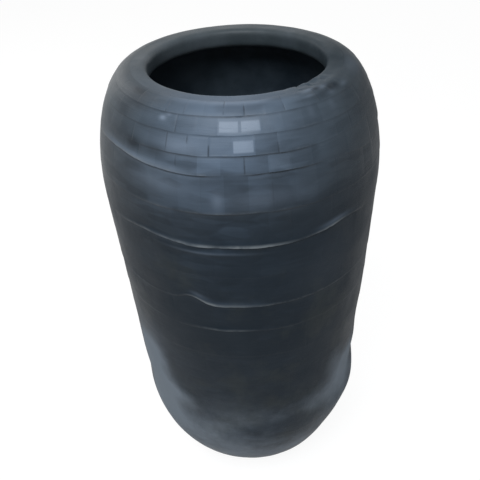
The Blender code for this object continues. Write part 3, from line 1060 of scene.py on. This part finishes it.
# The finishes of the pieces inside: a plain one each, mottled between two colours
plainLooks = {
    "linerRubber": {
        "plain": ((0.020, 0.024, 0.030), 0.55, 0.35),
        "colours": ((0.018, 0.028, 0.040), (0.042, 0.060, 0.078)),
        "roughness": (0.44, 0.62),
        "grain": 0.00008,
        "dust": (0.075, 0.096, 0.116),
        "dustAmount": 0.30,
        "cordRelief": 0.00001,
    },
    "fillerRubber": {
        "plain": ((0.030, 0.030, 0.032), 0.7, 0.4),
        "colours": ((0.022, 0.022, 0.024), (0.042, 0.042, 0.045)),
        "roughness": (0.62, 0.78),
        "grain": 0.00015,
    },
    "beadWire": {
        "plain": ((0.60, 0.48, 0.30), 0.35, 0.5, 1.0),
        "colours": ((0.48, 0.36, 0.22), (0.68, 0.56, 0.38)),
        "roughness": (0.28, 0.46),
        "grain": 0.00002,
    },
    "plyCords": {
        "plain": ((0.23, 0.11, 0.06), 0.8, 0.3),
        "colours": ((0.19, 0.085, 0.045), (0.29, 0.15, 0.085)),
        "grain": 0.00005,
        "cordsPerTurn": 520,
        "between": (0.035, 0.028, 0.025),
        "cordHeight": 0.00025,
    },
    "tapeCloth": {
        "plain": ((0.42, 0.38, 0.30), 0.85, 0.3),
        "colours": ((0.36, 0.32, 0.25), (0.48, 0.44, 0.36)),
        "grain": 0.00005,
        "pitch": 0.0007,
        "between": (0.10, 0.09, 0.08),
        "threadHeight": 0.00012,
    },
}


def startPlain(name, look):
    # The finish, its sockets, where a point lies, the grain and the mottled colour
    made, tree, into = newFinish(name, *look["plain"])
    place = useGroup(tree, sleevePlace)
    grain = useGroup(tree, rubberGrain, Surface=place["Surface"], Depth=look["grain"])
    colour = blendColour(ramp(grain["Mottle"], 0.3, 0.7), *look["colours"])
    if "roughness" in look:
        feed(into["Roughness"], ramp(grain["Mottle"], 0.3, 0.7, *look["roughness"]))
    return made, into, place, grain, colour


def plainFinish(name):
    made, into, _, grain, colour = startPlain(name, plainLooks[name])
    feed(into["Base Color"], colour)
    addBump(into, grain["Height"])
    return made


def linerFinish():
    look = plainLooks["linerRubber"]
    made, into, place, grain, colour = startPlain("linerRubber", look)
    dust = useGroup(made.node_tree, rubberDust, Amount=look["dustAmount"], Surface=place["Surface"])["Mask"]
    feed(into["Base Color"], blendColour(dust, colour, look["dust"]))
    slant = place["Angle"] * sleeve["bodyRadius"] + place["Run"] * 0.9
    addBump(into, grain["Height"] + calc("SINE", slant * 2400.0) * look["cordRelief"])
    return made


def cordFinish(name, lean):
    # Dipped cords side by side, laid at a slant; the two plies lean opposite ways
    look = plainLooks["plyCords"]
    made, into, place, grain, colour = startPlain(name, look)
    slant = lean * look["cordsPerTurn"] / (fullTurn * sleeve["bodyRadius"])
    phase = place["Angle"] * (look["cordsPerTurn"] / fullTurn) + place["Run"] * slant
    cord = calc("ABSOLUTE", calc("SINE", phase * math.pi))
    feed(into["Base Color"], blendColour(ramp(cord, 0.05, 0.55, 1.0, 0.0), colour, look["between"]))
    feed(into["Roughness"], ramp(cord, 0.2, 0.8, 0.9, 0.66))
    addBump(into, grain["Height"] + cord * look["cordHeight"])
    return made


def tapeFinish():
    look = plainLooks["tapeCloth"]
    made, into, place, _, colour = startPlain("tapeCloth", look)
    around = place["Angle"] * upperBead[0]
    threads = useGroup(made.node_tree, clothPrint, Around=around, Along=place["Run"], Pitch=look["pitch"])["Height"]
    feed(into["Base Color"], blendColour(ramp(threads, 0.2, 0.6, 0.6, 0.0), colour, look["between"]))
    feed(into["Roughness"], ramp(threads, 0.2, 0.8, 0.95, 0.78))
    addBump(into, threads * look["threadHeight"])
    return made


# The layers that lie inside the wall and round the beads
layers = {"plySides": 120, "linerSides": 200, "beadSides": 360, "plyStep": 0.006, "toeFullness": 3.4}


def plySection(wallDepth, wrap):
    turnUp = sleeve["turnUpLength"]

    def face(offset):
        radius = wrap + offset
        underCover = beadRadius - radius
        return np.vstack((
            layerRun(turnUp, 0, underCover, underCover),
            roundBead(True, 90, 270, radius)[1:-1],
            layerRun(0, outlineLength, wallDepth + offset, beadRadius + radius, layers["plyStep"]),
            roundBead(False, 270, 90, radius)[1:-1],
            layerRun(outlineLength, outlineLength - turnUp, underCover, underCover),
        ))

    return np.vstack((face(0), face(plyThickness)[::-1]))


def linerSection():
    start = sleeve["chaferLength"] + gap

    def face(offset):
        return layerRun(start, outlineLength - start, linerDepth + offset, beadRadius + skinWrap + offset)

    return np.vstack((face(0), face(sleeve["linerThickness"])[::-1]))


def chaferSection(isUpper):
    edge = sleeve["seatLand"] - gap

    def face(landDepth, radius, wallDepth, fullness):
        return np.vstack((
            beadRun(isUpper, edge, 0, landDepth, landDepth, 0.001),
            roundBead(isUpper, 90, 270, radius, 37, fullness)[1:-1],
            beadRun(isUpper, 0, sleeve["chaferLength"], wallDepth, beadRadius + radius, 0.0015),
        ))

    shown = face(0, beadRadius, linerDepth + coverThickness, layers["toeFullness"])
    return np.vstack((shown, face(coverThickness, skinWrap, linerDepth, 2.0)[::-1]))


def fillerSection(isUpper):
    pastTurnUp = sleeve["turnUpLength"] + gap
    tailEnd = (beadRadius + outerPlyWrap - outerPlyDepth - gap - sleeve["fillerFeather"]) / plyFall
    return np.vstack((
        beadRun(isUpper, outerPlyWrap, tailEnd, outerPlyDepth - gap, beadRadius + outerPlyWrap - gap),
        beadRun(isUpper, tailEnd, pastTurnUp, outerPlyDepth, outerPlyDepth),
        beadRun(isUpper, pastTurnUp, outerPlyWrap, turnUpFloor, turnUpFloor),
    ))


def tapeSection(isUpper):
    slit = math.degrees(gap / tapeWrap)
    return np.vstack((
        roundBead(isUpper, slit, 360, tapeWrap, 28),
        roundBead(isUpper, 360, slit, tapeWrap + sleeve["tapeThickness"], 28),
    ))


# The hoops: wires packed in rings round a middle one. fill is each wire's share of its place
wires = {"rings": 2, "ringSteps": 128, "sides": 8, "fill": 0.985}


def wireTree():
    # A ring of wire for each point, as wide as the point's own radius
    tree, given, out = newShapeTree("wireBundle", ("Wire Radius", "Ring Steps"))
    ring = lay(tree, "GeometryNodeCurvePrimitiveCircle", {"Radius": 1.0, "Resolution": given["Ring Steps"]})
    wide = lay(tree, "GeometryNodeInputNamedAttribute", {"Name": "ringRadius"}, data_type="FLOAT")
    inputs = {"Points": given["Geometry"], "Instance": ring, "Scale": joinXyz(wide, wide, 1.0)}
    rings = lay(tree, "GeometryNodeInstanceOnPoints", inputs)
    real = lay(tree, "GeometryNodeRealizeInstances", {"Geometry": rings})
    inputs = {"Resolution": wires["sides"], "Radius": given["Wire Radius"]}
    profile = lay(tree, "GeometryNodeCurvePrimitiveCircle", inputs)
    wire = lay(tree, "GeometryNodeCurveToMesh", {"Curve": real, "Profile Curve": profile})
    closeTree(given, out, storeRun(wire, 0.0))
    return tree


def makeWires(name, isUpper, tree, finish):
    # Wires packed in a hexagon that just fits the tape
    across = 2 * wires["rings"] + 1
    wireRadius = hoopRadius / across
    centre = upperBead if isUpper else lowerBead
    places = []
    for row in range(-wires["rings"], wires["rings"] + 1):
        inRow = across - abs(row)
        level = centre[1] + row * wireRadius * math.sqrt(3)
        places += [(centre[0] + (2 * i - inRow + 1) * wireRadius, level) for i in range(inRow)]
    mesh = bpy.data.meshes.new(name + "Points")
    mesh.from_pydata([(0, 0, z) for _, z in places], [], [])
    mesh.attributes.new("ringRadius", "FLOAT", "POINT").data.foreach_set("value", [r for r, _ in places])
    values = {"Wire Radius": wireRadius * wires["fill"], "Ring Steps": float(wires["ringSteps"])}
    return bakeTree(name, tree, mesh, values, finish)


def roughen(amount, scale, keep):
    # Small unevenness of a moulded face and its nicks, with none past the run where the hidden face begins
    def move(angle, run, r, z):
        if run > keep:
            return r, z
        at = Vector((r * math.cos(angle), r * math.sin(angle), z)) * scale
        ease = min(1.0, run / 0.002, (keep - run) / 0.002)
        azimuth, _, halfWidth, _, depth = cover["nicks"]
        off = (math.remainder(angle, fullTurn) - math.radians(azimuth)) / math.radians(halfWidth)
        nick = depth * (noise.noise(at * 2.7) - 0.25) * math.exp(-off * off / 2)
        lift = (amount * noise.noise(at) + nick) * ease
        return r + lift, min(max(z + lift, 0.0), height)

    return move


def place(piece, node, slot):
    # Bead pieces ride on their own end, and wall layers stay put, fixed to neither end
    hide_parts(node)
    if node.startswith("upper"):
        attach(piece, "upper_end")
    elif node.startswith("lower"):
        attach(piece, "lower_end")
    else:
        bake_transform(piece)


place(makeCover(cover, coverFinish(coverLook)), "outer_cover", "cover_rubber")
print("made the cover")

for name, node, finishName, depth, wrap, lean in (
    ("outerPly", "outer_cord_ply", "outerCords", outerPlyDepth, outerPlyWrap, 1.0),
    ("innerPly", "inner_cord_ply", "innerCords", innerPlyDepth, innerPlyWrap, -1.0),
):
    finish = cordFinish(finishName, lean)
    place(turnedPiece(name, plySection(depth, wrap), layers["plySides"], finish), node, "cord_fabric")
liner = turnedPiece("linerWall", linerSection(), layers["linerSides"], linerFinish())
place(liner, "inner_liner", "liner_rubber")
print("made the plies and the liner")

chaferCloth = chaferFinish(coverLook)
fillerRubber = plainFinish("fillerRubber")
tapeCloth = tapeFinish()
beadWire = plainFinish("beadWire")
bundleTree = wireTree()
for isUpper, end in ((True, "upper"), (False, "lower")):
    section = chaferSection(isUpper)
    half = len(section) // 2
    shown = float(np.hypot(*np.diff(section[:half], axis=0).T).sum())
    chafer = turnedPiece(end + "ChaferStrip", section, layers["beadSides"], chaferCloth, roughen(0.0003, 60.0, shown))
    filler = turnedPiece(end + "Filler", fillerSection(isUpper), layers["plySides"], fillerRubber)
    tape = turnedPiece(end + "HoopTape", tapeSection(isUpper), layers["plySides"], tapeCloth)
    place(chafer, end + "_chafer", "chafer_fabric")
    place(filler, end + "_bead_filler", "filler_rubber")
    place(tape, end + "_bead_tape", "tape_fabric")
    place(makeWires(end + "HoopWires", isUpper, bundleTree, beadWire), end + "_bead_hoop", "bead_wire")
print("made the beads")


# The studio: a pale floor that keeps a faint shadow, a white surround and soft lamps
studio = {
    "floorSize": 30.0,
    "floorBounce": 0.55,
    "floorShown": 0.17,
    "floorWhite": 0.90,
    "worldLevel": 0.36,
    # Name, place, what it points at, width, depth, watts and colour
    "lamps": (
        ("frontLamp", (-0.20, -0.85, 1.55), (0, 0, 0.36), 1.0, 0.8, 18.0, (0.90, 0.95, 1.0)),
        ("backLamp", (-1.1, 0.9, 1.1), (0, 0, 0.30), 0.8, 0.8, 5.0, (1.0, 0.98, 0.95)),
    ),
}


def behindCamera(tree):
    # 1 where a ray from the camera, or one seen in gloss or glass, arrives
    path = outputsOf(tree.nodes.new("ShaderNodeLightPath"))
    seen = calc("MAXIMUM", path["Is Camera Ray"], path["Is Glossy Ray"])
    return calc("MAXIMUM", seen, path["Is Transmission Ray"])


def makeFloor():
    size = studio["floorSize"] / 2
    mesh = bpy.data.meshes.new("studioFloor")
    mesh.from_pydata([(-size, -size, 0), (size, -size, 0), (size, size, 0), (-size, size, 0)], [], [(0, 1, 2, 3)])
    made, tree, into = newFinish("studioFloor", (1, 1, 1), 0.9, 0.0)
    seen = behindCamera(tree)
    feed(into["Base Color"], blendColour(seen, (studio["floorBounce"],) * 3, (studio["floorShown"],) * 3))
    into["Emission Color"].default_value = (1, 1, 1, 1)
    feed(into["Emission Strength"], seen * studio["floorWhite"])
    mesh.materials.append(made)
    floor = addPiece("studioFloor", mesh)


def makeWorld():
    world = bpy.data.worlds.new("studioWorld")
    world.use_nodes = True
    background = world.node_tree.nodes["Background"].inputs
    background["Color"].default_value = (1, 1, 1, 1)
    level = studio["worldLevel"]
    feed(background["Strength"], behindCamera(world.node_tree) * (1 - level) + level)
    bpy.context.scene.world = world


def makeLamp(name, at, target, width, depth, watts, colour):
    lamp = bpy.data.lights.new(name, "AREA")
    lamp.shape = "RECTANGLE"
    lamp.size = width
    lamp.size_y = depth
    lamp.energy = watts
    lamp.color = colour
    holder = addPiece(name, lamp)
    holder.location = at
    holder.rotation_euler = (Vector(target) - Vector(at)).to_track_quat("-Z", "Y").to_euler()


# The camera, where the photograph was taken from
view = {
    "place": (0.0, -0.5536, 0.6588),
    "down": 0.61776,
    "turn": 0.00891,
    "roll": 0.05049,
    "lens": 48.75,
    "sensor": 36.0,
}


def makeCamera():
    camera = bpy.data.cameras.new("photoCamera")
    camera.lens = view["lens"]
    camera.sensor_width = view["sensor"]
    camera.clip_start = 0.01
    holder = addPiece("photoCamera", camera)
    turned = Matrix.Rotation(view["turn"], 4, "Z") @ Matrix.Rotation(math.pi / 2 - view["down"], 4, "X")
    holder.matrix_world = Matrix.Translation(view["place"]) @ turned @ Matrix.Rotation(-view["roll"], 4, "Z")
    bpy.context.scene.camera = holder


makeFloor()
makeWorld()
for lamp in studio["lamps"]:
    makeLamp(*lamp)
makeCamera()
bpy.context.scene.view_settings.view_transform = "Standard"
print("made the studio")
